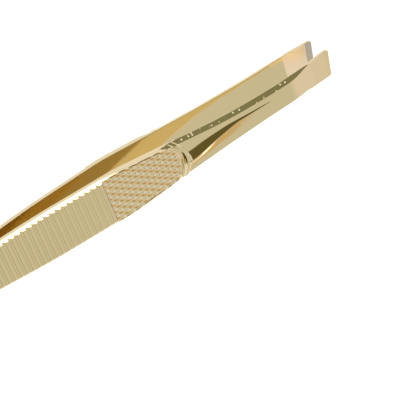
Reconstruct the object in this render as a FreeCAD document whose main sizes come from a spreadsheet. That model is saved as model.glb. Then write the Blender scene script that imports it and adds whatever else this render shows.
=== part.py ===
"""Slant-tip beauty tweezers: two sprung steel arms joined by a weld at the tail.

The frame: +X runs from the tail to the tips, +Y is the left arm's side, +Z is
up.  The tweezers rest on the lower edges of their grips, and the origin is the
middle of the footprint, on the surface they rest on.  All sizes are in mm.
"""
import FreeCAD, Part
import math
import os
import Sketcher

# ---------------------------------------------------------------- dimensions
# name: (value in mm or degrees, what it is)
DIMENSIONS = {
    "total_length": (98.0, "tail end to tips"),
    "grip_width": (9.5, "widest part of an arm"),
    "thick_stock": (1.5, "arm thickness from the tail to the end of the finger pad"),
    "thin_stock": (1.4, "arm thickness in front of the finger pad"),
    # the weld at the tail
    "weld_length": (10.5, "length of the welded seam"),
    "weld_gap": (0.3, "thickness of the seam between the two arms"),
    "weld_inset": (0.4, "seam set in from the long edges of the tail"),
    "tail_width": (6.3, "width of an arm at the tail"),
    "tail_corner": (2.4, "radius of the tail's corners"),
    # the bow of an arm, seen from above
    "bow_gap_pad": (2.72, "inner face to mid-plane at the front of the long bow"),
    "bow_gap_front": (3.36, "inner face to mid-plane where the arms run parallel"),
    "bow_radius_rear": (2675.0, "radius of the long bow behind the pad"),
    "bow_radius_front": (230.0, "radius of the bow in front of it"),
    "bow_pad_back": (34.0, "front of the long bow, back from the tips"),
    "bow_front_back": (20.0, "front of the short bow, back from the tips"),
    # the bent tip
    "bend_outer_back": (8.9, "start of the outer bend, back from the tips"),
    "bend_step_back": (5.5, "end of the outer thinning, back from the tips"),
    "bend_step_gap": (3.82, "outer face to mid-plane where the thinning ends"),
    "bend_inner_back": (6.2, "inner bend line, back from the tips"),
    "land_length": (1.5, "ground gripping land at the tip"),
    "land_gap_back": (2.52, "land to mid-plane at its rear line"),
    "land_gap_front": (2.56, "land to mid-plane at the end"),
    "tip_outer_gap": (3.15, "outer face to mid-plane at the end"),
    "tip_width": (5.0, "width of an arm at the tip"),
    "tip_slant": (0.7, "how far the upper corner stands in front of the lower"),
    # the outline of an arm, seen from the side
    "rear_flank_back": (66.0, "front of the straight rear flank, back from the tips"),
    "rear_flank_width": (9.14, "width there"),
    "grip_rear_back": (58.0, "rear of the full-width grip, back from the tips"),
    "grip_front_back": (48.0, "front of the full-width grip, back from the tips"),
    "shoulder_back": (44.0, "front of the shoulder, back from the tips"),
    "shoulder_width": (9.1, "width there"),
    "neck_back": (26.0, "rear of the hollow-sided neck, back from the tips"),
    "neck_width": (5.75, "width there"),
    "flank_radius": (178.0, "radius of the rear blend into the grip"),
    "shoulder_radius": (40.0, "radius of the shoulder"),
    "neck_radius": (230.0, "radius of the hollow side of the neck"),
    # the finger pad and its lip
    "pad_rear_back": (49.2, "rear of the knurled pad, back from the tips"),
    "pad_lip_back": (32.4, "foremost point of the pad's lip, back from the tips"),
    "pad_lip_radius": (4.6, "radius of the pad's rounded front"),
    "pad_edge_back": (34.1, "where the rounded front meets the arm's edge, back from the tips"),
    "pad_edge_width": (7.24, "width of the arm there"),
    "lip_gap_step": (0.05, "how much further out the lip stands than the pad behind it"),
    # the raised spine in front of the pad
    "spine_rise": (0.45, "height of the spine at the pad's lip"),
    "spine_width": (2.8, "width of the spine"),
    "spine_shoulder_back": (22.0, "where the spine starts to narrow, back from the tips"),
    "spine_end_back": (13.0, "point of the spine, back from the tips"),
    # the grip ribs
    "rib_count": (27.0, "number of grooves between the ribs"),
    "rib_pitch": (1.2, "spacing of the ribs"),
    "groove_width": (0.45, "width of a groove"),
    "groove_depth": (0.22, "depth of a groove"),
    "groove_slope": (2.86, "lean of the row of grooves, degrees"),
    "groove_gap_first": (3.57, "outer face to mid-plane at the first groove"),
}

doc = FreeCAD.newDocument("tweezers")
sheet = doc.addObject("Spreadsheet::Sheet", "sizes")
for row, (alias, (value, meaning)) in enumerate(DIMENSIONS.items(), start=1):
    sheet.set(f"A{row}", alias)
    sheet.set(f"B{row}", str(value))
    sheet.set(f"C{row}", meaning)
    sheet.setAlias(f"B{row}", alias)
doc.recompute()

UPWARD = FreeCAD.Vector(0, 0, 1)
ACROSS = FreeCAD.Vector(0, 1, 0)
SPARE_CELL = "E1"


# ------------------------------------------------------------------- helpers
def cell(expression):
    """Write a formula of plain alias names as one that reads the sheet."""
    for alias in sorted(DIMENSIONS, key=len, reverse=True):
        expression = expression.replace(alias, "@" + str(list(DIMENSIONS).index(alias)) + "@")
    for index, alias in enumerate(DIMENSIONS):
        expression = expression.replace(f"@{index}@", "sizes." + alias)
    return expression


def value_of(expression):
    """The number that a formula of alias names gives now, worked out in a spare cell."""
    sheet.set(SPARE_CELL, "=" + expression)
    sheet.recompute()
    number = float(sheet.get(SPARE_CELL))
    sheet.clear(SPARE_CELL)
    return number


def bind(item, path, expression):
    """Bind one property of an object to a formula of alias names."""
    item.setExpression(path, cell(expression))


def back(alias):
    """Distance from the tail of a point given as a distance back from the tips."""
    return f"total_length - {alias}"


def arc_between(start, end, radius, turn):
    """The arc from start to end that turns left (+1) or right (-1) as it goes."""
    chord = end - start
    middle = (start + end) / 2
    rise = math.sqrt(radius ** 2 - (chord.Length / 2) ** 2)
    normal = FreeCAD.Vector(-chord.y, chord.x, 0).normalize()
    centre = middle + normal * rise * turn
    angles = [math.atan2(p.y - centre.y, p.x - centre.x) for p in (start, end)]
    if turn < 0:
        angles.reverse()
    if angles[1] < angles[0]:
        angles[1] += 2 * math.pi
    circle = Part.Circle(centre, UPWARD, radius)
    return Part.ArcOfCircle(circle, angles[0], angles[1])


def closed_sketch(name, corners, arcs=None):
    """A closed outline; corners are pairs of formulas, arcs give radius and turn by edge."""
    arcs = arcs or {}
    sketch = doc.addObject("Sketcher::SketchObject", name)
    points = [FreeCAD.Vector(value_of(along), value_of(across), 0) for along, across in corners]
    ends = []
    for index, start in enumerate(points):
        end = points[(index + 1) % len(points)]
        if index in arcs:
            radius, turn = arcs[index]
            sketch.addGeometry(arc_between(start, end, value_of(radius), turn))
            ends.append((1, 2) if turn > 0 else (2, 1))
        else:
            sketch.addGeometry(Part.LineSegment(start, end))
            ends.append((1, 2))
    for index in range(len(points)):
        after = (index + 1) % len(points)
        meet = Sketcher.Constraint("Coincident", index, ends[index][1], after, ends[after][0])
        sketch.addConstraint(meet)
    for index, (along, across) in enumerate(corners):
        corner = (index, ends[index][0])
        for kind, formula, axis in (("DistanceX", along, -2), ("DistanceY", across, -1)):
            if formula == "0":
                sketch.addConstraint(Sketcher.Constraint("PointOnObject", *corner, axis))
                continue
            number = value_of(formula)
            rule = sketch.addConstraint(Sketcher.Constraint(kind, -1, 1, *corner, number))
            sketch.renameConstraint(rule, f"{kind}_{index}")
            bind(sketch, f"Constraints.{kind}_{index}", formula)
    for index, (radius, turn) in arcs.items():
        rule = sketch.addConstraint(Sketcher.Constraint("Radius", index, value_of(radius)))
        sketch.renameConstraint(rule, f"radius_{index}")
        bind(sketch, f"Constraints.radius_{index}", radius)
    return sketch


def seen_from_above(sketch):
    """Put a sketch on the ground plane, measured from the tail end."""
    bind(sketch, "Placement.Base.x", "-total_length / 2")
    return sketch


def seen_from_side(sketch):
    """Stand a sketch upright along the arms, measured from the tail end."""
    sketch.Placement = FreeCAD.Placement(FreeCAD.Vector(), FreeCAD.Rotation(FreeCAD.Vector(1, 0, 0), 90))
    bind(sketch, "Placement.Base.x", "-total_length / 2")
    return sketch


def extrude(name, sketch, direction, length):
    """A solid that carries a sketch along one axis."""
    solid = doc.addObject("Part::Extrusion", name)
    solid.Base = sketch
    solid.DirMode = "Custom"
    solid.Dir = direction
    solid.Solid = True
    bind(solid, "LengthFwd", length)
    return solid


def common(name, plan, side):
    """The solid that two extrusions share."""
    solid = doc.addObject("Part::MultiCommon", name)
    solid.Shapes = [plan, side]
    return solid


def carved(name, plan_corners, plan_arcs, side_corners, side_arcs):
    """A piece with one outline seen from above and another seen from the side."""
    plan = seen_from_above(closed_sketch(name + "_plan", plan_corners, plan_arcs))
    side = seen_from_side(closed_sketch(name + "_side", side_corners, side_arcs))
    tall = extrude(name + "_tall", plan, UPWARD, "grip_width")
    deep = extrude(name + "_deep", side, ACROSS, "grip_width")
    return common(name, tall, deep)


# --------------------------------------------------------- bow, seen from above
SEAM = "weld_gap / 2"
BOW = {"rear": ("bow_radius_rear", -1), "front": ("bow_radius_front", -1)}
OUTWARD = {"rear": ("bow_radius_rear + thick_stock", 1), "front": ("bow_radius_front + thin_stock", 1)}


def blade_plan():
    """The thin spring strip: seam, two bows, a straight run and the bent tip."""
    corners = [
        ("0", SEAM),
        ("weld_length", SEAM),
        (back("bow_pad_back"), "bow_gap_pad"),
        (back("bow_front_back"), "bow_gap_front"),
        (back("bend_inner_back"), "bow_gap_front"),
        (back("land_length"), "land_gap_back"),
        ("total_length", "land_gap_front"),
        ("total_length", "tip_outer_gap"),
        (back("bend_step_back"), "bend_step_gap"),
        (back("bend_outer_back"), "bow_gap_front + thin_stock"),
        (back("bow_front_back"), "bow_gap_front + thin_stock"),
        (back("bow_pad_back"), "bow_gap_pad + thin_stock"),
        ("weld_length", SEAM + " + thin_stock"),
        ("0", SEAM + " + thin_stock"),
    ]
    arcs = {1: BOW["rear"], 2: BOW["front"], 10: OUTWARD["front"], 11: OUTWARD["rear"]}
    return corners, arcs


def handle_plan():
    """The thicker stock of the handle, from the tail to the lip of the finger pad."""
    corners = [
        ("0", SEAM),
        ("weld_length", SEAM),
        (back("bow_pad_back"), "bow_gap_pad"),
        (back("pad_lip_back"), "bow_gap_pad + lip_gap_step"),
        (back("pad_lip_back"), "bow_gap_pad + lip_gap_step + thick_stock"),
        (back("bow_pad_back"), "bow_gap_pad + thick_stock"),
        ("weld_length", SEAM + " + thick_stock"),
        ("0", SEAM + " + thick_stock"),
    ]
    return corners, {1: BOW["rear"], 5: OUTWARD["rear"]}


# -------------------------------------------------------- outline, from the side
def mirrored_outline(upper):
    """Close an outline from its upper corners, which run from the tail to the tip."""
    lower = [(along, "grip_width - (" + height + ")") for along, height in reversed(upper)]
    return upper + lower


def half_width(alias):
    """Height of an upper corner, from the width of the arm there."""
    return f"grip_width / 2 + {alias} / 2"


TAIL_HALF = "grip_width / 2 + tail_width / 2"
FLANK = ("flank_radius", -1)
TAIL_ROUND = ("tail_corner", -1)
REAR_CORNERS = [
    ("0", TAIL_HALF + " - tail_corner"),
    ("tail_corner", TAIL_HALF),
    (back("rear_flank_back"), half_width("rear_flank_width")),
    (back("grip_rear_back"), "grip_width"),
    (back("grip_front_back"), "grip_width"),
    (back("shoulder_back"), half_width("shoulder_width")),
]


def blade_side():
    """The whole strip: rounded tail, wide grip, hollow-sided neck and slanted tip."""
    upper = REAR_CORNERS + [
        (back("neck_back"), half_width("neck_width")),
        ("total_length", half_width("tip_width")),
    ]
    corners = mirrored_outline(upper)
    corners[8] = ("total_length - tip_slant", corners[8][1])
    neck = ("neck_radius", 1)
    shoulder = ("shoulder_radius", -1)
    arcs = {0: TAIL_ROUND, 2: FLANK, 4: shoulder, 6: neck, 8: neck, 10: shoulder, 12: FLANK, 14: TAIL_ROUND}
    return corners, arcs


def handle_side():
    """The same outline, ended by the pad's rounded lip."""
    upper = REAR_CORNERS + [(back("pad_edge_back"), half_width("pad_edge_width"))]
    corners = mirrored_outline(upper)
    shoulder = ("shoulder_radius", -1)
    arcs = {0: TAIL_ROUND, 2: FLANK, 4: shoulder, 6: ("pad_lip_radius", -1)}
    arcs.update({8: shoulder, 10: FLANK, 12: TAIL_ROUND})
    return corners, arcs


def spine_plan():
    """The spine in profile: a long wedge that sinks into the blade."""
    corners = [
        (back("bow_pad_back"), "bow_gap_pad + thin_stock / 2"),
        (back("spine_end_back"), "bow_gap_front + thin_stock / 2"),
        (back("spine_end_back"), "bow_gap_front + thin_stock"),
        (back("bow_pad_back"), "bow_gap_pad + thin_stock + spine_rise"),
    ]
    return corners, {}


def spine_side():
    """The spine's outline: parallel sides that close to a point."""
    upper = [
        (back("bow_pad_back"), half_width("spine_width")),
        (back("spine_shoulder_back"), half_width("spine_width")),
    ]
    corners = upper + [(back("spine_end_back"), "grip_width / 2")]
    corners += [(along, "grip_width - (" + height + ")") for along, height in reversed(upper)]
    return corners, {}


def groove_cutters():
    """One box for each groove between the ribs, in a row that follows the bow."""
    cutters = []
    for index in range(int(value_of("rib_count"))):
        cutter = doc.addObject("Part::Box", f"groove_cutter_{index + 1:02d}")
        run = f"(pad_rear_back + {index + 0.5} * rib_pitch)"
        bind(cutter, "Length", "groove_width")
        bind(cutter, "Width", "thick_stock")
        bind(cutter, "Height", "grip_width")
        bind(cutter, "Placement.Base.x", f"total_length / 2 - {run} - groove_width / 2")
        drop = f"{index} * rib_pitch * tan(groove_slope * 1deg)"
        bind(cutter, "Placement.Base.y", f"groove_gap_first - {drop} - groove_depth")
        cutters.append(cutter)
    row = doc.addObject("Part::Compound", "groove_cutters")
    row.Links = cutters
    return row


# ------------------------------------------------------------------ the pieces
def left_arm():
    """Blade, thicker handle and spine made one, with the ribs cut into the handle."""
    blade = carved("blade", *blade_plan(), *blade_side())
    handle = carved("handle", *handle_plan(), *handle_side())
    spine = carved("spine", *spine_plan(), *spine_side())
    blank = doc.addObject("Part::MultiFuse", "arm_blank")
    blank.Shapes = [blade, handle, spine]
    blank.Refine = True
    arm = doc.addObject("Part::Cut", "left_arm")
    arm.Base = blank
    arm.Tool = groove_cutters()
    arm.Label = "left_arm"
    return arm


def right_arm(source):
    """The right arm is the left one's mirror image."""
    arm = doc.addObject("Part::Mirroring", "right_arm")
    arm.Source = source
    arm.Normal = ACROSS
    arm.Label = "right_arm"
    return arm


def tail_weld():
    """The seam between the two tails, with the tail's own rounded outline."""
    half = "grip_width / 2 + tail_width / 2 - weld_inset"
    upper = [("0", half + " - tail_corner"), ("tail_corner", half), ("weld_length", half)]
    corners = mirrored_outline(upper)
    sketch = seen_from_side(closed_sketch("seam_side", corners, {0: TAIL_ROUND, 4: TAIL_ROUND}))
    bind(sketch, "Placement.Base.y", "-weld_gap / 2")
    seam = extrude("tail_weld", sketch, ACROSS, "weld_gap")
    seam.Label = "tail_weld"
    return seam


arm_left = left_arm()
arm_right = right_arm(arm_left)
pieces = [tail_weld(), arm_left, arm_right]
doc.recompute()

# -------------------------------------------------------------- check and write
for item in doc.Objects:
    if "Invalid" in item.State or "Error" in item.State:
        raise RuntimeError(f"{item.Label} failed: {item.State}")
    if item.isDerivedFrom("Sketcher::SketchObject") and item.solve() != 0:
        raise RuntimeError(f"{item.Label} is not solved")

os.makedirs("parts", exist_ok=True)
for piece in pieces:
    shape = piece.Shape
    if shape.isNull() or not shape.isValid() or len(shape.Solids) != 1:
        raise RuntimeError(f"{piece.Label} is not one valid solid")
    box = shape.BoundBox
    centre = shape.Solids[0].CenterOfMass
    print(piece.Label, "volume", round(shape.Volume, 1), "mm3, centre of mass at x", round(centre.x, 2))
    print("  x", round(box.XMin, 2), round(box.XMax, 2), "y", round(box.YMin, 2), round(box.YMax, 2))
    print("  z", round(box.ZMin, 2), round(box.ZMax, 2))
    shape.exportStep(f"parts/{piece.Label}.step")
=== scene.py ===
# %% [markdown]
# # Slant-tip tweezers, gold-plated
# These are beauty tweezers: two strips of sprung steel, stamped, bowed, welded at
# the tail and plated with pale gold.  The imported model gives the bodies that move.
# This script gives the arms their finished surface: the grip ribs, the knurled
# finger pad with its rolled lip, the raised spine, the bent and ground tips, and
# the polish of the plating.

# %% Load the frame
import math
import bpy
import numpy as np
from mathutils import Matrix, Vector


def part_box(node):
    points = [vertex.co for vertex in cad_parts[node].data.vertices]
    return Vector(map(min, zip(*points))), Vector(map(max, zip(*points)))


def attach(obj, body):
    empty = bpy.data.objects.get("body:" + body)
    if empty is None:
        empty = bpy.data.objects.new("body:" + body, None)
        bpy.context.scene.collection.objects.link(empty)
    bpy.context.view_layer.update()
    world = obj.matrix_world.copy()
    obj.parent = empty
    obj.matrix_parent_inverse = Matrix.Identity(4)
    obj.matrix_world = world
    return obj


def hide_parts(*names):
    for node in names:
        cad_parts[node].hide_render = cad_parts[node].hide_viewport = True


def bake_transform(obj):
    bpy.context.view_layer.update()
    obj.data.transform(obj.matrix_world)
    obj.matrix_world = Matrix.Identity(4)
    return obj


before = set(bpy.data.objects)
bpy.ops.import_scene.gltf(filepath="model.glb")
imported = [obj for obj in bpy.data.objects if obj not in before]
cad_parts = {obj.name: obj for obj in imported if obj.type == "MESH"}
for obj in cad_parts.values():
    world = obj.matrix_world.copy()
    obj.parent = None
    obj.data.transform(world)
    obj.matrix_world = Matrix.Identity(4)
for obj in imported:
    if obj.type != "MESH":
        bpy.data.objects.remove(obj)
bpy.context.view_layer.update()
MM = 0.001
arm_low, arm_high = (np.array(corner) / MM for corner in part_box("left_arm"))
seam_low, seam_high = (np.array(corner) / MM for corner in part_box("tail_weld"))
TAIL_X = arm_low[0]
TOTAL = arm_high[0] - arm_low[0]
MIDDLE_Z = (arm_low[2] + arm_high[2]) / 2
WELD = seam_high[0] - seam_low[0]
SEAM = seam_high[1]
print(f"arms {TOTAL:.1f} mm long, grips {arm_high[2] - arm_low[2]:.1f} mm wide, weld {WELD:.1f} mm")

# %% [markdown]
# ## Straight runs and arcs
# A stamped strip is drawn with straight runs and large arcs, so a side of it is
# held as its corners, and each corner may name the radius of the run after it.
# `track` turns such a list into a function of the distance from the tail.  It
# could be a Blender curve, but a function can be asked for any station, and that
# lets the mesh be dense only where the surface has detail.

# %% Runs of straights and arcs
def track(*corners):
    """Height along a side; corners are (distance, height, radius of the next run)."""
    def height(along):
        along = np.asarray(along, dtype=float)
        result = np.full(along.shape, float(corners[-1][1]))
        result = np.where(along < corners[0][0], corners[0][1], result)
        for (x0, y0, *bend), (x1, y1, *_) in zip(corners, corners[1:]):
            inside = (along >= x0) & (along <= x1)
            part = (along - x0) / (x1 - x0)
            run = y0 + (y1 - y0) * part
            if bend:
                radius = bend[0]
                chord = math.hypot(x1 - x0, y1 - y0)
                rise = math.sqrt(radius ** 2 - chord ** 2 / 4) * math.copysign(1, radius)
                centre_x = (x0 + x1) / 2 + (y1 - y0) / chord * rise
                centre_y = (y0 + y1) / 2 - (x1 - x0) / chord * rise
                reach = np.sqrt(np.maximum(radius ** 2 - (along - centre_x) ** 2, 0))
                run = centre_y + reach * math.copysign(1, radius)
            result = np.where(inside, run, result)
        return result
    return height


def softened(height, reach):
    """The same side with its corners eased over the given reach, as a press leaves them."""
    steps = np.linspace(-reach, reach, 9)
    def eased(along):
        return sum(height(np.asarray(along) + step) for step in steps) / len(steps)
    return eased


def smooth(value, start, end):
    """0 before start, 1 after end, with an even S between them."""
    part = np.clip((np.asarray(value, dtype=float) - start) / (end - start), 0, 1)
    return part * part * (3 - 2 * part)


def from_tip(distance):
    """Distance from the tail of a place given by its distance back from the tips."""
    return TOTAL - distance


# %% [markdown]
# ## The outline and the bow
# Seen from the side an arm is a rounded tail that widens to the full grip, drops
# over a shoulder, and runs in hollow flanks to a slightly flared tip.  Seen from
# above it is bowed: the inner face leaves the weld, swings out and runs parallel
# to its twin until the bend that brings the tips together.  Both are the same
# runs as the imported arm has, so the finished skin sits where the solid does.

# %% Side outline and bow
TAIL_ROUND = 2.4
BEND_LINE, LAND_LENGTH = 6.2, 1.5
EASED_OUTLINE, EASED_INNER, EASED_OUTER, EASED_BEVEL, EASED_SPINE = 0.8, 0.12, 1.3, 0.3, 0.7
REAR_BOW, FRONT_BOW = 2675, 230
PAD_HALF_GAP, BLADE_HALF_GAP = 2.72, 3.36
THIN_STOCK = 1.4
PAD_STEP = 0.1
half_width = softened(track(
    (TAIL_ROUND, 3.15),
    (from_tip(66), 4.57, 178),
    (from_tip(58), 4.75),
    (from_tip(48), 4.75, 40),
    (from_tip(44), 4.55),
    (from_tip(26), 2.875, -230),
    (TOTAL, 2.55),
), EASED_OUTLINE)
inner_face = softened(track(
    (WELD, SEAM, REAR_BOW),
    (from_tip(34), PAD_HALF_GAP, FRONT_BOW),
    (from_tip(20), BLADE_HALF_GAP),
    (from_tip(BEND_LINE), BLADE_HALF_GAP),
    (from_tip(LAND_LENGTH), 2.52),
    (TOTAL, 2.56),
), EASED_INNER)
outer_face = softened(track(
    (WELD, SEAM + THIN_STOCK, REAR_BOW),
    (from_tip(34), PAD_HALF_GAP + THIN_STOCK, FRONT_BOW),
    (from_tip(20), BLADE_HALF_GAP + THIN_STOCK),
    (from_tip(8.9), BLADE_HALF_GAP + THIN_STOCK),
    (from_tip(5.5), 3.82),
    (TOTAL, 3.15),
), EASED_OUTER)
bevel_out = softened(track(
    (0, 0.5),
    (from_tip(49.6), 0.62),
    (from_tip(48.6), 0.36),
    (from_tip(37.5), 0.36),
    (from_tip(34.5), 1.2),
    (from_tip(9), 1.2),
    (from_tip(5.5), 0.3),
    (TOTAL, 0.2),
), EASED_BEVEL)
bevel_up = softened(track(
    (0, 0.5),
    (from_tip(49.6), 0.62),
    (from_tip(48.6), 0.36),
    (from_tip(36), 0.36),
    (from_tip(33), 0.42),
    (from_tip(9), 0.42),
    (from_tip(6.5), 0.3),
    (from_tip(5), 0.02),
), EASED_BEVEL)
print("gap at the pads", round(2 * float(inner_face(from_tip(40))), 2), "mm")
print("gap at the tips", round(2 * float(inner_face(TOTAL)), 2), "mm")

# %% [markdown]
# ## What stands on the outer face
# The grip is pressed into the strip between dies, and each form on it is held here
# as a height in millimetres over the thin stock.  A bump map would do for a far
# view, but the teeth of the ribs show along the edge of the arm, and the lip and
# the spine bend what the metal reflects, so all of them are real geometry.
#
# ## Ribs
# Behind the pad lie ribs across the arm.  Each is a ramp that climbs forward and
# drops off at a short step, as a roof tile does, so a finger slides neither way.

# %% Ribs
RIB_PITCH = 1.2
RIB_COUNT = 27
RIBS_FRONT = from_tip(49.2)
RIBS_REAR = RIBS_FRONT - RIB_COUNT * RIB_PITCH
RIB_RISE = 0.30
RIB_SECTION = (
    (0.0, -1.0), (0.375, -0.40), (0.40, -0.30), (0.6, -0.10), (0.9, 0.0), (0.94, -0.08), (1.0, -1.0))


def rib_height(along):
    """Each rib climbs forward like a shingle and drops off at a short step."""
    part = (along - RIBS_REAR) / RIB_PITCH % 1
    rise = np.interp(part, *zip(*RIB_SECTION)) * RIB_RISE
    there = (along < RIBS_FRONT) & (along > RIBS_REAR)
    return np.where(there, rise, 0)


# %% [markdown]
# ## Knurled pad
# The pad has rows of small round-topped diamonds, left between two crossing sets
# of grooves in the die.  Two cosine waves that cross give the same pattern.  Their
# tops are leaned down a little, so each is a fish scale rather than a dome.  The
# slopes of the real ones are finer than the mesh can hold, so a painted shade and
# a painted highlight are measured from them too: the gold is painted browner on
# the rear and lower slope of each diamond, for the shade and second reflection
# there, and paler on its other slope, as a painted highlight.

# %% Knurled pad
DIAMOND_LONG, DIAMOND_HIGH = 2.0, 1.4
KNURL_DEPTH = 0.10
KNURL_LEAN = 0.5
KNURL_FADE = 0.25
# the knurl fades in between these two distances from the edge of the face
BARE_RIM = 0.2, 0.5
TONE_STEP = 0.12


def crowns(along, up):
    """1 on top of each rounded diamond and 0 in the grooves, leaning like a fish scale."""
    row = DIAMOND_HIGH / 2
    up = up + KNURL_LEAN * row / (2 * np.pi) * np.cos(2 * np.pi * up / row)
    first = along / DIAMOND_LONG + up / DIAMOND_HIGH
    second = along / DIAMOND_LONG - up / DIAMOND_HIGH
    return (0.5 + 0.5 * np.cos(2 * np.pi * first)) * (0.5 + 0.5 * np.cos(2 * np.pi * second))


# %% [markdown]
# ## Lip and spine
# The pad ends in a round lip, rolled up in front of a shallow ditch with a deeper
# notch in its lower half.  From the lip a low ridge runs forward.  It starts low
# on the blade, climbs, and sinks into the flat at its front, which stiffens the
# strip where it narrows.  The lip is one section carried along an arc, and the
# ridge is four tracks: the place and height of its crest, and its slopes' feet.

# %% Lip and spine
LIP_FRONT = from_tip(32.4)
LIP_RADIUS = 4.6
LIP_HALF_HEIGHT = 3.9
KNURL_SET_BACK = 2.0
LIP_SECTION = (
    (0, 0), (0.35, 0.26), (0.5, 0.30), (0.75, 0.27), (1.25, -0.02), (1.6, -0.02), (2.0, PAD_STEP))
NOTCH_DEPTH = 0.30
NOTCH_BEHIND, NOTCH_REACH = 1.35, 0.36
NOTCH_UP, NOTCH_SPREAD = -0.9, 1.1


def lip_sag(up):
    """How far the lip's round front falls back from its foremost point."""
    up = np.clip(np.abs(up), 0, LIP_HALF_HEIGHT)
    return LIP_RADIUS - np.sqrt(LIP_RADIUS ** 2 - up ** 2)


def lip_height(behind, up):
    """Height of the lip and its ditch over the thin stock, with the deeper notch below."""
    along_notch = (behind - NOTCH_BEHIND) / NOTCH_REACH
    across_notch = (up - NOTCH_UP) / NOTCH_SPREAD
    height = -NOTCH_DEPTH * np.exp(-along_notch ** 2 - across_notch ** 2)
    for (a, low), (b, high) in zip(LIP_SECTION, LIP_SECTION[1:]):
        height = height + (high - low) * smooth(behind, a, b)
    return height


SPINE_END = from_tip(13.5)
crest_place = softened(track(
    (LIP_FRONT - 2, -1.25),
    (from_tip(31), -0.9),
    (from_tip(27), 0.1),
    (from_tip(22), 0.92),
    (SPINE_END, 0.7),
), EASED_SPINE)
upper_foot = softened(track(
    (LIP_FRONT - 2, 0.75),
    (from_tip(30), 1.25),
    (from_tip(24), 1.45),
    (from_tip(17), 1.0),
    (SPINE_END, 0.75),
), EASED_SPINE)
lower_foot = softened(track(
    (LIP_FRONT - 2, -2.3),
    (from_tip(29), -1.7),
    (from_tip(26), -1.2),
    (SPINE_END, -1.2),
), EASED_SPINE)
crest_rise = softened(track(
    (LIP_FRONT - 2, 0.62),
    (from_tip(30), 0.54),
    (from_tip(26), 0.38),
    (from_tip(21), 0.19),
    (SPINE_END, 0.0),
), EASED_SPINE)


def spine_height(along, up):
    """A twisted ridge: its crest runs from low at the lip to high at the front."""
    crest = crest_place(along)
    above = np.clip((up - crest) / (upper_foot(along) - crest), 0, 1)
    below = np.clip((crest - up) / (crest - lower_foot(along)), 0, 1)
    flanks = np.where(up > crest, (1 - above) ** 1.25, (1 - below) ** 1.5)
    return crest_rise(along) * flanks


def knurl_cover(along, up):
    """1 where the pad is knurled and 0 elsewhere."""
    behind = LIP_FRONT - lip_sag(up) - along
    inside = smooth(half_width(along) - np.abs(up), *BARE_RIM)
    return smooth(behind, KNURL_SET_BACK, KNURL_SET_BACK + KNURL_FADE) * (along > RIBS_FRONT) * inside


def knurl_painted_shading(along, up):
    """Painted shade above 0 on the rear and lower slope of each diamond, painted highlight below 0 on its
    other slope.
    """
    ahead = crowns(along + TONE_STEP, up + TONE_STEP)
    return knurl_cover(along, up) * (ahead - crowns(along - TONE_STEP, up - TONE_STEP))


def relief(along, up):
    """Everything that stands on the outer face, over the thin stock."""
    behind = LIP_FRONT - lip_sag(up) - along
    spine = spine_height(along, up) * (1 - smooth(behind, -0.05, 0.35))
    knurl = knurl_cover(along, up) * KNURL_DEPTH * (crowns(along, up) - 1)
    return lip_height(behind, up) + knurl + rib_height(along) + spine


# %% [markdown]
# ## One arm as rings
# The skin is a row of rings, one at each station from the tail to the tip.  A
# ring has a dense outer face, a bevel on each outer edge, plain sides and a plain
# inner face.  A subdivided box would need far more faces for the same detail:
# here stations crowd only where the ribs and the knurl are, and they bend along
# the lip so that its edge follows the mesh instead of stepping across it.

# %% Stations along the arm
def spread(start, end, step):
    """Evenly spaced stations from start up to, but not at, end."""
    count = max(1, round((end - start) / step))
    return list(np.linspace(start, end, count, endpoint=False))


TIP_ROUND = 0.6
tail_turn = [TAIL_ROUND * (1 - math.cos(math.radians(a))) for a in range(0, 90, 9)]
rib_marks = (
    0.002, 0.03, 0.12, 0.25, 0.36, 0.375, 0.40, 0.415, 0.5, 0.6, 0.75, 0.86, 0.9, 0.92, 0.94, 0.965, 0.985)
LIP_ZONE_BACK, LIP_ZONE_FRONT = LIP_FRONT - 2.2, LIP_FRONT + 0.2
TIP_ZONE = from_tip(9.6)
stations = tail_turn + spread(TAIL_ROUND, RIBS_REAR, 0.6)
stations += [RIBS_REAR + (rib + mark) * RIB_PITCH for rib in range(RIB_COUNT) for mark in rib_marks]
stations += spread(RIBS_FRONT, LIP_ZONE_BACK, 0.125)
stations += spread(LIP_ZONE_BACK, LIP_ZONE_FRONT, 0.05)
stations += spread(LIP_ZONE_FRONT, TIP_ZONE, 0.35)
stations += spread(TIP_ZONE, from_tip(TIP_ROUND), 0.15)
stations += [TOTAL - TIP_ROUND * (1 - math.sin(math.radians(a))) for a in range(0, 91, 9)]
stations = np.array(stations)
print(len(stations), "stations")

# %% [markdown]
# ## The ring at a station
# Every ring is the same plan of directions, sized to its station: across the outer
# face, over the bevel, down the side, round the small inner corner and back along
# the inner face.  One plan for all rings keeps the faces four-sided, so nothing
# has to be stitched where the ribs or the lip begin.

# %% The ring at a station
INNER_CORNER = 0.07
FACE_POINTS, BACK_POINTS, CORNER_POINTS = 84, 16, 5
BEVEL_STEPS = (0.0, 0.07, 0.25, 0.5, 0.75, 0.93, 1.0)
BEVEL_CROWN = 0.02


def corner_turn(start):
    """Directions round one inner corner, as (out, up) pairs."""
    angles = np.radians(np.linspace(start, start + 90, CORNER_POINTS))
    return [(math.cos(a), math.sin(a)) for a in angles]


def bevel_turn():
    """Points over a bevel that is slightly crowned, as (out, up) pairs."""
    crown = [BEVEL_CROWN * math.sin(math.pi * step) for step in BEVEL_STEPS]
    return [(1 - step + extra, step + extra) for step, extra in zip(BEVEL_STEPS, crown)]


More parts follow.
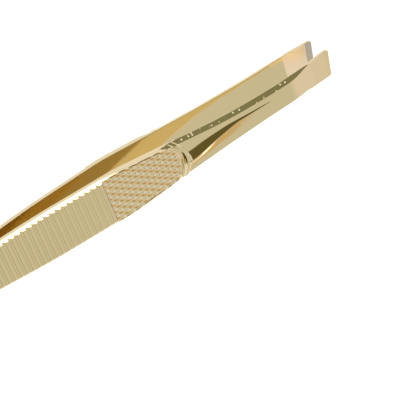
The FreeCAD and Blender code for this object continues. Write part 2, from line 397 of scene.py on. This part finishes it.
def ring_plan():
    """Each ring point as (outer 1 or inner 0, place across -1..1, corner out, corner up)."""
    face = np.linspace(-1, 1, FACE_POINTS)
    plan = [(1, v, 1, 0) for v in face]
    plan += [(1, 1, out, up) for out, up in bevel_turn()[1:]]
    plan += [(0, 1, out, up) for out, up in corner_turn(90)]
    back = np.linspace(0.97, -0.97, BACK_POINTS)
    plan += [(0, v, -1, 0) for v in (0.99, *back, -0.99)]
    plan += [(0, -1, out, up) for out, up in corner_turn(180)]
    plan += [(1, -1, out, -up) for out, up in reversed(bevel_turn()[1:])]
    return np.array(plan)


def end_narrowing(along):
    """How much the half width loses to the round corners of the tail and the tip."""
    tail = TAIL_ROUND - np.clip(along, 0, TAIL_ROUND)
    tip = TIP_ROUND - np.clip(TOTAL - along, 0, TIP_ROUND)
    lost = TAIL_ROUND - np.sqrt(TAIL_ROUND ** 2 - tail ** 2)
    return lost + TIP_ROUND - np.sqrt(TIP_ROUND ** 2 - tip ** 2)


# %% [markdown]
# ## Place the rings
# The plan becomes points in millimetres.  Near the lip a station bends to the
# lip's arc, and how far it bends depends on the height that the bevel leaves
# there, so the two are worked out in turn a few times.  The blades are cut at a
# slant, which leaves the upper corner of a tip in front of the lower one.

# %% Place the rings
TIP_SLANT, TIP_BACK, TIP_LIFT = 0.8, 0.1, 0.12
SLANT_START, LIFT_START, LIFT_END = from_tip(8), from_tip(13), from_tip(5)
EDGE_BREAK = 0.16
THINNEST_UP, THINNEST_OUT = 0.02, 0.06
LIP_BEND_START, LIP_BEND_FULL = RIBS_FRONT, LIP_FRONT - 2.6
LIP_BEND_EASES, LIP_BEND_END = LIP_FRONT + 0.6, LIP_FRONT + 14
LIP_PASSES = 3
LUMPS_START, LUMPS_FULL, LUMPS_EASE, LUMPS_END = (from_tip(back) for back in (36, 34, 9, 7))


def arm_points(side):
    """Ring points of an arm in mm, with the painted shade and highlight of the knurl and their share of
    edge lumps.

    Side is +1 for the left arm and -1 for the right one.
    """
    plan = ring_plan()
    along = np.repeat(stations[:, None], len(plan), axis=1)
    outer, across, out, up = (np.repeat(plan[None, :, i], len(stations), axis=0) for i in range(4))
    near_end = np.minimum(along, TOTAL - along)
    broken = EDGE_BREAK - np.sqrt(EDGE_BREAK ** 2 - (EDGE_BREAK - np.clip(near_end, 0, EDGE_BREAK)) ** 2)
    bend_with_lip = smooth(along, LIP_BEND_START, LIP_BEND_FULL)
    bend_with_lip *= 1 - smooth(along, LIP_BEND_EASES, LIP_BEND_END)
    x = along
    for _ in range(LIP_PASSES):
        half = half_width(x) - end_narrowing(along)
        reach_up = np.where(outer > 0, np.maximum(bevel_up(x) + rib_height(x), THINNEST_UP), INNER_CORNER)
        z = across * (half - reach_up) + up * reach_up
        x = along - lip_sag(z) * bend_with_lip * outer
    x = x + (TIP_SLANT * z / half / 2 - TIP_BACK) * smooth(along, SLANT_START, TOTAL)
    inner = inner_face(x) + broken
    face = outer_face(x) + relief(x, z) - broken
    z = z + TIP_LIFT * smooth(along, LIFT_START, LIFT_END)
    reach_out = np.maximum(bevel_out(x) + rib_height(x), THINNEST_OUT)
    y = np.where(outer > 0, face - reach_out + out * reach_out, inner + INNER_CORNER + out * INNER_CORNER)
    # the knurl's painted shade and painted highlight at each point
    tone = np.where(outer > 0, knurl_painted_shading(x, z), 0)
    on_bevel = (outer > 0) & (np.abs(across) == 1) & (up != 0)
    lumps = on_bevel * smooth(x, LUMPS_START, LUMPS_FULL) * (1 - smooth(x, LUMPS_EASE, LUMPS_END))
    return np.stack([x + TAIL_X, side * y, z + MIDDLE_Z], axis=-1), tone, lumps


# %% [markdown]
# ## Skin the rings
# Each ring is joined to the next by four-sided faces, and a cap closes each end.
# A face carries the number of its finish: the plating nearly everywhere, the honed
# finish inside the bent tip, and the ground land at its very end.  Edges sharper
# than SHARP_ANGLE stay crisp, and the rest is shaded smooth.

# %% Skin the rings
PLATE, LAND, HONED = 0, 1, 2
SHARP_ANGLE = math.radians(38)


def arm_mesh(name, side):
    """A closed mesh through all the rings, with a finish on each face."""
    points, tone, lumps = arm_points(side)
    rows, ring = points.shape[:2]
    faces = []
    finishes = []
    plan = ring_plan()
    on_inner = (plan[:, 0] == 0) & (plan[:, 2] < -0.5)
    for row in range(rows - 1):
        finish = PLATE
        if stations[row] >= from_tip(BEND_LINE):
            finish = HONED
        if stations[row] >= from_tip(LAND_LENGTH) - 0.01:
            finish = LAND
        for column in range(ring):
            after = (column + 1) % ring
            here, ahead = row * ring, (row + 1) * ring
            face = (here + column, ahead + column, ahead + after, here + after)
            faces.append(face if side < 0 else face[::-1])
            finishes.append(finish if on_inner[column] and on_inner[after] else PLATE)
    tail_cap = tuple(range(ring))
    tip_cap = tuple((rows - 1) * ring + column for column in range(ring))
    faces += [tail_cap if side > 0 else tail_cap[::-1], tip_cap[::-1] if side > 0 else tip_cap]
    finishes += [PLATE, PLATE]
    mesh = bpy.data.meshes.new(name)
    mesh.from_pydata((points.reshape(-1, 3) * MM).tolist(), [], faces)
    mesh.polygons.foreach_set("material_index", finishes)
    # the knurl's painted shade and highlight go to the material as a point attribute
    mesh.attributes.new("knurl_painted_shading", "FLOAT", "POINT").data.foreach_set("value", tone.ravel())
    mesh.attributes.new("edge_lumps", "FLOAT", "POINT").data.foreach_set("value", lumps.ravel())
    mesh.shade_smooth()
    mesh.set_sharp_from_angle(angle=SHARP_ANGLE)
    arm = bpy.data.objects.new(name, mesh)
    bpy.context.collection.objects.link(arm)
    print(name, len(mesh.polygons), "faces")
    return arm


arms = {"left": arm_mesh("left_arm_plated", 1), "right": arm_mesh("right_arm_plated", -1)}

# %% [markdown]
# ## The weld at the tail
# The two tails are welded together over the last centimetre and ground round
# together.  What shows of the weld is a thin line set in from the edges.  It is a
# slab as thick as the gap between the arms, crowned towards its middle, with the
# fine ripples that a row of weld spots leaves on its rim.

# %% Tail seam
SEAM_INSET, SEAM_STEP = 0.3, 0.1
SEAM_RIPPLE, SEAM_RIPPLE_PITCH = 0.03, 0.4
SEAM_SHARP_ANGLE = math.radians(50)
# each layer: place across the gap, and how far its rim draws in
SEAM_CROWN = ((-1.0, 0.12), (-0.6, 0.03), (0.0, 0.0), (0.6, 0.03), (1.0, 0.12))


def seam_mesh(name):
    """A thin crowned slab between the tails, with the ripples of the weld on its rim."""
    runs = [TAIL_ROUND * (1 - math.cos(math.radians(a))) for a in range(12, 90, 6)]
    runs += spread(TAIL_ROUND, WELD, SEAM_STEP) + [WELD]
    rim = []
    for along in runs:
        ripple = SEAM_RIPPLE * math.cos(2 * math.pi * along / SEAM_RIPPLE_PITCH)
        rim.append((along, float(half_width(along) - end_narrowing(along)) - SEAM_INSET + ripple))
    outline = rim + [(along, -up) for along, up in reversed(rim)]
    points, faces = [], []
    for level, draw_in in SEAM_CROWN:
        for along, up in outline:
            fall = 1 - draw_in / max(abs(up), 0.5)
            points.append((along + TAIL_X, level * SEAM, up * fall + MIDDLE_Z))
    count = len(outline)
    for layer in range(len(SEAM_CROWN) - 1):
        for index in range(count):
            after = (index + 1) % count
            low = layer * count
            faces.append((low + index, low + after, low + count + after, low + count + index))
    faces.append(tuple(reversed(range(count))))
    faces.append(tuple(range((len(SEAM_CROWN) - 1) * count, len(SEAM_CROWN) * count)))
    mesh = bpy.data.meshes.new(name)
    mesh.from_pydata([tuple(value * MM for value in point) for point in points], [], faces)
    mesh.shade_smooth()
    mesh.set_sharp_from_angle(angle=SEAM_SHARP_ANGLE)
    seam = bpy.data.objects.new(name, mesh)
    bpy.context.collection.objects.link(seam)
    print(name, len(mesh.polygons), "faces")
    return seam


seam = seam_mesh("tail_seam")

# %% [markdown]
# ## Materials
# All surfaces are metal, so their look is their tint, their polish and what they
# reflect.  Each material is a small node tree with its own noise, in real sizes.

# %% Colour and node helpers
def colour(hex_value):
    """An sRGB hex value as linear RGBA."""
    parts = [int(hex_value[i:i + 2], 16) / 255 for i in (1, 3, 5)]
    return tuple(p / 12.92 if p <= 0.04045 else ((p + 0.055) / 1.055) ** 2.4 for p in parts) + (1,)


def add(tree, kind, inputs=None, **settings):
    """Add one node; inputs maps a socket to a value or to another node's output."""
    node = tree.nodes.new(kind)
    for name, value in settings.items():
        setattr(node, name, value)
    for socket, value in (inputs or {}).items():
        if isinstance(value, bpy.types.NodeSocket):
            tree.links.new(value, node.inputs[socket])
        else:
            node.inputs[socket].default_value = value
    return node


def new_material(name):
    """An empty node material with its shader and output."""
    material = bpy.data.materials.new(name)
    material.use_nodes = True
    material.node_tree.nodes.clear()
    shader = add(material.node_tree, "ShaderNodeBsdfPrincipled")
    add(material.node_tree, "ShaderNodeOutputMaterial", {"Surface": shader.outputs["BSDF"]})
    return material, material.node_tree, shader


# a noise pattern is nearly all between these two values
NOISE_LOW, NOISE_HIGH = 0.3, 0.7


def varied(tree, pattern, least, most):
    """A value that follows a noise pattern between two limits."""
    limits = {"From Min": NOISE_LOW, "From Max": NOISE_HIGH, "To Min": least, "To Max": most}
    return add(tree, "ShaderNodeMapRange", {"Value": pattern, **limits}).outputs["Result"]


# %% [markdown]
# ## Gold-plated polished steel
# The steel is barrel polished and then plated with a few micrometres of pale
# gold.  The tint is nearly even.  The polish varies a little, and the surface
# has the faint waviness of a tumbled part, which is kept very low because two
# facing mirrors double it at every bounce.  Plating grows faster on an edge and
# leaves small lumps there, which sparkle along the bevels in front of the pad.
# They are scattered by a cell noise, and drawn a little larger than life.

# %% Gold-plated polished steel
TINT_PATCH, HAZE_PATCH = 9, 1.5
WAVE_LENGTH, WAVE_HEIGHT = 2.5, 0.003
LUMP_SPACING, LUMP_RADIUS, LUMP_HEIGHT = 0.9, 0.22, 0.12


def gold_plated_polished_steel():
    """Pale gold over stamped and barrel-polished steel."""
    material, tree, shader = new_material("gold_plated_polished_steel")
    place = add(tree, "ShaderNodeTexCoord").outputs["Object"]
    shader.inputs["Metallic"].default_value = 1
    tint = add(tree, "ShaderNodeTexNoise", {"Vector": place, "Scale": 1 / (TINT_PATCH * MM), "Detail": 2})
    shade = add(tree, "ShaderNodeMix", {0: tint.outputs["Fac"], 6: colour("#DBC999"), 7: colour("#DFCD9F")},
                data_type="RGBA")
    # painted shade: the knurl's rear and lower slopes are painted browner (#CAA56E); painted highlight: its
    # other slopes are painted paler (#F2E1C2)
    tone = add(tree, "ShaderNodeAttribute", attribute_name="knurl_painted_shading").outputs["Fac"]
    shaded = add(tree, "ShaderNodeMapRange", {"Value": tone, "From Min": 0.05, "From Max": 0.6})
    lit = add(tree, "ShaderNodeMapRange", {"Value": tone, "From Min": -0.1, "From Max": -0.6})
    deeper = add(tree, "ShaderNodeMix",
                 {0: shaded.outputs["Result"], 6: shade.outputs[2], 7: colour("#CAA56E")}, data_type="RGBA")
    plated = add(tree, "ShaderNodeMix",
                 {0: lit.outputs["Result"], 6: deeper.outputs[2], 7: colour("#F2E1C2")}, data_type="RGBA")
    tree.links.new(plated.outputs[2], shader.inputs["Base Color"])
    haze = add(tree, "ShaderNodeTexNoise", {"Vector": place, "Scale": 1 / (HAZE_PATCH * MM), "Detail": 4})
    tree.links.new(varied(tree, haze.outputs["Fac"], 0.05, 0.11), shader.inputs["Roughness"])
    swell = add(tree, "ShaderNodeTexNoise", {"Vector": place, "Scale": 1 / (WAVE_LENGTH * MM), "Detail": 1})
    waves = add(tree, "ShaderNodeBump", {"Height": swell.outputs["Fac"], "Distance": WAVE_HEIGHT * MM})
    cells = add(tree, "ShaderNodeTexVoronoi", {"Vector": place, "Scale": 1 / (LUMP_SPACING * MM)})
    dome = add(tree, "ShaderNodeMapRange",
               {"Value": cells.outputs["Distance"], "From Min": LUMP_RADIUS / LUMP_SPACING, "From Max": 0},
               interpolation_type="SMOOTHSTEP")
    on_edge = add(tree, "ShaderNodeAttribute", attribute_name="edge_lumps").outputs["Fac"]
    height = add(tree, "ShaderNodeMath", {0: dome.outputs["Result"], 1: on_edge}, operation="MULTIPLY")
    lumps = add(tree, "ShaderNodeBump", {
        "Height": height.outputs[0], "Distance": LUMP_HEIGHT * MM, "Normal": waves.outputs["Normal"]})
    tree.links.new(lumps.outputs["Normal"], shader.inputs["Normal"])
    return material


gold = gold_plated_polished_steel()


# %% [markdown]
# ## Ground land
# The last millimetre and a half inside each tip is ground flat after plating, so
# that the tips grip a single hair.  The plating is thin there, and greyer, with
# fine grinding lines across the arm.  Real lines are finer than a tenth of a
# millimetre; they are drawn at about that size so that they show.

# %% Ground land
GRIND_LINE, GRIND_STRETCH, GRIND_DEPTH = 0.12, 0.06, 0.01


def ground_plated_land():
    """The gripping land, ground after plating, so the gold is thin and the polish gone."""
    material, tree, shader = new_material("ground_plated_land")
    place = add(tree, "ShaderNodeTexCoord").outputs["Object"]
    shader.inputs["Metallic"].default_value = 1
    shader.inputs["Base Color"].default_value = colour("#C4BBA6")
    stretch = add(tree, "ShaderNodeMapping", {"Vector": place, "Scale": (1, 1, GRIND_STRETCH)})
    drawn_out = stretch.outputs["Vector"]
    lines = add(tree, "ShaderNodeTexNoise", {"Vector": drawn_out, "Scale": 1 / (GRIND_LINE * MM)})
    tree.links.new(varied(tree, lines.outputs["Fac"], 0.25, 0.4), shader.inputs["Roughness"])
    bump = add(tree, "ShaderNodeBump", {"Height": lines.outputs["Fac"], "Distance": GRIND_DEPTH * MM})
    tree.links.new(bump.outputs["Normal"], shader.inputs["Normal"])
    return material


land_finish = ground_plated_land()


# %% [markdown]
# ## Honed tip
# Behind the land, up to the bend line, the inner face is stoned after bending
# and plated over the stoning.  It is satin, so it gathers light from all round.
# Its gold is also painted paler than the mirror gold behind it, as a painted
# brightness for the light that the satin gathers.

# %% Honed tip
HONING_PATCH = 0.8


def honed_plated_tip():
    """The bent run behind the land, stoned flat after bending and plated over the stoning."""
    material, tree, shader = new_material("honed_plated_tip")
    place = add(tree, "ShaderNodeTexCoord").outputs["Object"]
    shader.inputs["Metallic"].default_value = 1
    # painted brightness: the base colour is paler than the polished gold
    shader.inputs["Base Color"].default_value = colour("#FFEBC8")
    haze = add(tree, "ShaderNodeTexNoise", {"Vector": place, "Scale": 1 / (HONING_PATCH * MM), "Detail": 3})
    tree.links.new(varied(tree, haze.outputs["Fac"], 0.3, 0.4), shader.inputs["Roughness"])
    return material


tip_finish = honed_plated_tip()


# %% [markdown]
# ## Weld bead
# The weld is plated with the arms but lies too deep for the polish to reach, so
# it is rougher and deeper in tone, with a grain of a third of a millimetre.

# %% Weld bead
WELD_GRAIN, WELD_GRAIN_DEPTH = 0.3, 0.02


def plated_weld():
    """The weld bead, plated with the arms but never polished."""
    material, tree, shader = new_material("plated_weld_bead")
    place = add(tree, "ShaderNodeTexCoord").outputs["Object"]
    shader.inputs["Metallic"].default_value = 1
    shader.inputs["Base Color"].default_value = colour("#B59E6C")
    grain = add(tree, "ShaderNodeTexNoise", {"Vector": place, "Scale": 1 / (WELD_GRAIN * MM), "Detail": 3})
    tree.links.new(varied(tree, grain.outputs["Fac"], 0.25, 0.45), shader.inputs["Roughness"])
    bump = add(tree, "ShaderNodeBump", {"Height": grain.outputs["Fac"], "Distance": WELD_GRAIN_DEPTH * MM})
    tree.links.new(bump.outputs["Normal"], shader.inputs["Normal"])
    return material


# %% [markdown]
# ## Dress the pieces
# The order of the slots on an arm is the order of the finish numbers on its faces.

# %% Dress the pieces
for arm in arms.values():
    arm.data.materials.append(gold)
    arm.data.materials.append(land_finish)
    arm.data.materials.append(tip_finish)
seam.data.materials.append(plated_weld())
print(len(bpy.data.materials), "materials")

# %% [markdown]
# ## The pieces and the bodies
# The real arms are springs: nothing turns about a pin, the whole rear half bends.
# The model stands in for that with a hinge at the front edge of the weld.  An arm
# that rode on one body would kink there.  Here the skins of the arms are baked in
# place and ride on no body, so they do not bend; they replace the imported arms.
# The seam rides on the tail and replaces the imported weld.

# %% Replace the arms, seam on the tail
for body, arm in arms.items():
    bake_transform(arm)
    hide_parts(f"{body}_arm")
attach(seam, "tail")
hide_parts("tail_weld")

# %% [markdown]
# ## Floor
# A wide sheet of white acrylic that glows a little, as a light table does, keeps
# the ground plain and even.  It is hidden from reflections: the metal would
# otherwise show nothing but white, and polished metal needs dark to look bright.

# %% Floor
FLOOR_REACH = 4.0


def plain_floor():
    """A wide white sheet that is lit from inside, as a light table is."""
    size = FLOOR_REACH
    mesh = bpy.data.meshes.new("floor")
    corners = [(-size, -size, 0), (size, -size, 0), (size, size, 0), (-size, size, 0)]
    mesh.from_pydata(corners, [], [(0, 1, 2, 3)])
    floor = bpy.data.objects.new("floor", mesh)
    bpy.context.collection.objects.link(floor)
    material, tree, shader = new_material("white_acrylic_sheet")
    shader.inputs["Base Color"].default_value = colour("#808080")
    shader.inputs["Roughness"].default_value = 0.9
    shader.inputs["Emission Color"].default_value = (1, 1, 1, 1)
    shader.inputs["Emission Strength"].default_value = 1.0
    shader.inputs["Specular IOR Level"].default_value = 0
    mesh.materials.append(material)
    floor.visible_glossy = False


plain_floor()


# %% [markdown]
# ## Studio light
# Polished metal has no shade of its own.  It shows the tent, the window and the
# dark parts of the room that it reflects.  Lamps and boards could stand round the
# part, but they would have to be hidden from every other view, so the world holds
# them as soft-edged round cards at set directions.  Each card has one job: the
# window lights the bevel of the ribs, the dark room draws the spine, the overhead
# card darkens the bevelled edges in front, and the table gives the flat faces
# their even gold.  The last five lie low round the table and vary that gold.

# %% Studio surroundings
# each card: direction from the object, full and soft edge in degrees, colour
CARDS = (
    ("window", (-0.08, -0.55, 0.83), 16, 20, (3.2, 3.2, 3.4)),
    ("overhead", (0.30, 0.33, 0.90), 20, 27, (0.29, 0.29, 0.20)),
    ("table", (0.0, 0.0, -1.0), 84, 92, (0.8, 0.8, 0.8)),
    ("dark_room", (0.27, -0.92, 0.26), 23, 28, (0.16, 0.135, 0.055)),
    ("table_behind", (0.2, 0.85, -0.5), 35, 60, (1.15, 1.12, 1.1)),
    ("low_lamp", (0.65, 0.10, -0.75), 14, 32, (2.4, 2.25, 2.3)),
    ("side_sheet", (0.72, -0.42, -0.55), 12, 28, (0.97, 0.93, 1.03)),
    ("warm_table", (0.20, -0.42, -0.87), 13, 23, (0.8, 0.61, 0.38)),
    ("dark_left", (-0.82, -0.24, -0.52), 16, 24, (0.10, 0.07, 0.03)),
)
SKY = (1.08, 1.08, 1.2, 1)


def studio_world():
    """A white tent with paler, darker and warmer cards at set directions."""
    world = bpy.data.worlds.new("studio")
    world.use_nodes = True
    tree = world.node_tree
    tree.nodes.clear()
    direction = add(tree, "ShaderNodeTexCoord").outputs["Generated"]
    light = None
    for name, toward, full, soft, tone in CARDS:
        length = math.sqrt(sum(v * v for v in toward))
        nearness = add(tree, "ShaderNodeVectorMath", {0: direction, 1: tuple(v / length for v in toward)},
                       operation="DOT_PRODUCT", label=name)
        seen = add(tree, "ShaderNodeMapRange",
                   {"Value": nearness.outputs["Value"], "From Min": math.cos(math.radians(soft)),
                    "From Max": math.cos(math.radians(full))}, interpolation_type="SMOOTHSTEP")
        mixed = add(tree, "ShaderNodeMix", {0: seen.outputs["Result"], 6: light or SKY, 7: (*tone, 1)},
                    data_type="RGBA")
        light = mixed.outputs[2]
    shine = add(tree, "ShaderNodeBackground", {"Color": light})
    add(tree, "ShaderNodeOutputWorld", {"Surface": shine.outputs["Background"]})
    bpy.context.scene.world = world


studio_world()
bpy.context.scene.view_settings.view_transform = "Standard"


# %% [markdown]
# ## Camera
# A product picture of something this small is taken from a third of a metre with
# a long lens, so that the near and the far arm keep the same scale.  The camera is
# turned about its own axis, which lets the tweezers run up to the right.

# %% Camera
CAMERA_AZIMUTH, CAMERA_ELEVATION, CAMERA_ROLL = -19.18, 33.443, -21.912
CAMERA_DISTANCE = 352.384
CAMERA_AIM = 17.506, 0, -10.071
LENS_LENGTH, SENSOR_WIDTH = 165.6, 36


def add_camera():
    """A long lens aimed below the front of the grip, from the right and above."""
    azimuth, elevation, roll = (
        math.radians(angle) for angle in (CAMERA_AZIMUTH, CAMERA_ELEVATION, CAMERA_ROLL))
    distance = CAMERA_DISTANCE * MM
    aim = Vector(CAMERA_AIM) * MM
    away = Vector((math.sin(azimuth) * math.cos(elevation), -math.cos(azimuth) * math.cos(elevation),
                   math.sin(elevation)))
    level = (-away).cross(Vector((0, 0, 1))).normalized()
    upright = level.cross(-away)
    across = level * math.cos(roll) + upright * math.sin(roll)
    up = upright * math.cos(roll) - level * math.sin(roll)
    lens = bpy.data.cameras.new("camera")
    lens.sensor_width = SENSOR_WIDTH
    lens.lens = LENS_LENGTH
    lens.clip_start = 0.01
    camera = bpy.data.objects.new("camera", lens)
    turn = Matrix((across, up, away)).transposed()
    camera.matrix_world = Matrix.Translation(aim + away * distance) @ turn.to_4x4()
    bpy.context.collection.objects.link(camera)
    bpy.context.scene.camera = camera


add_camera()
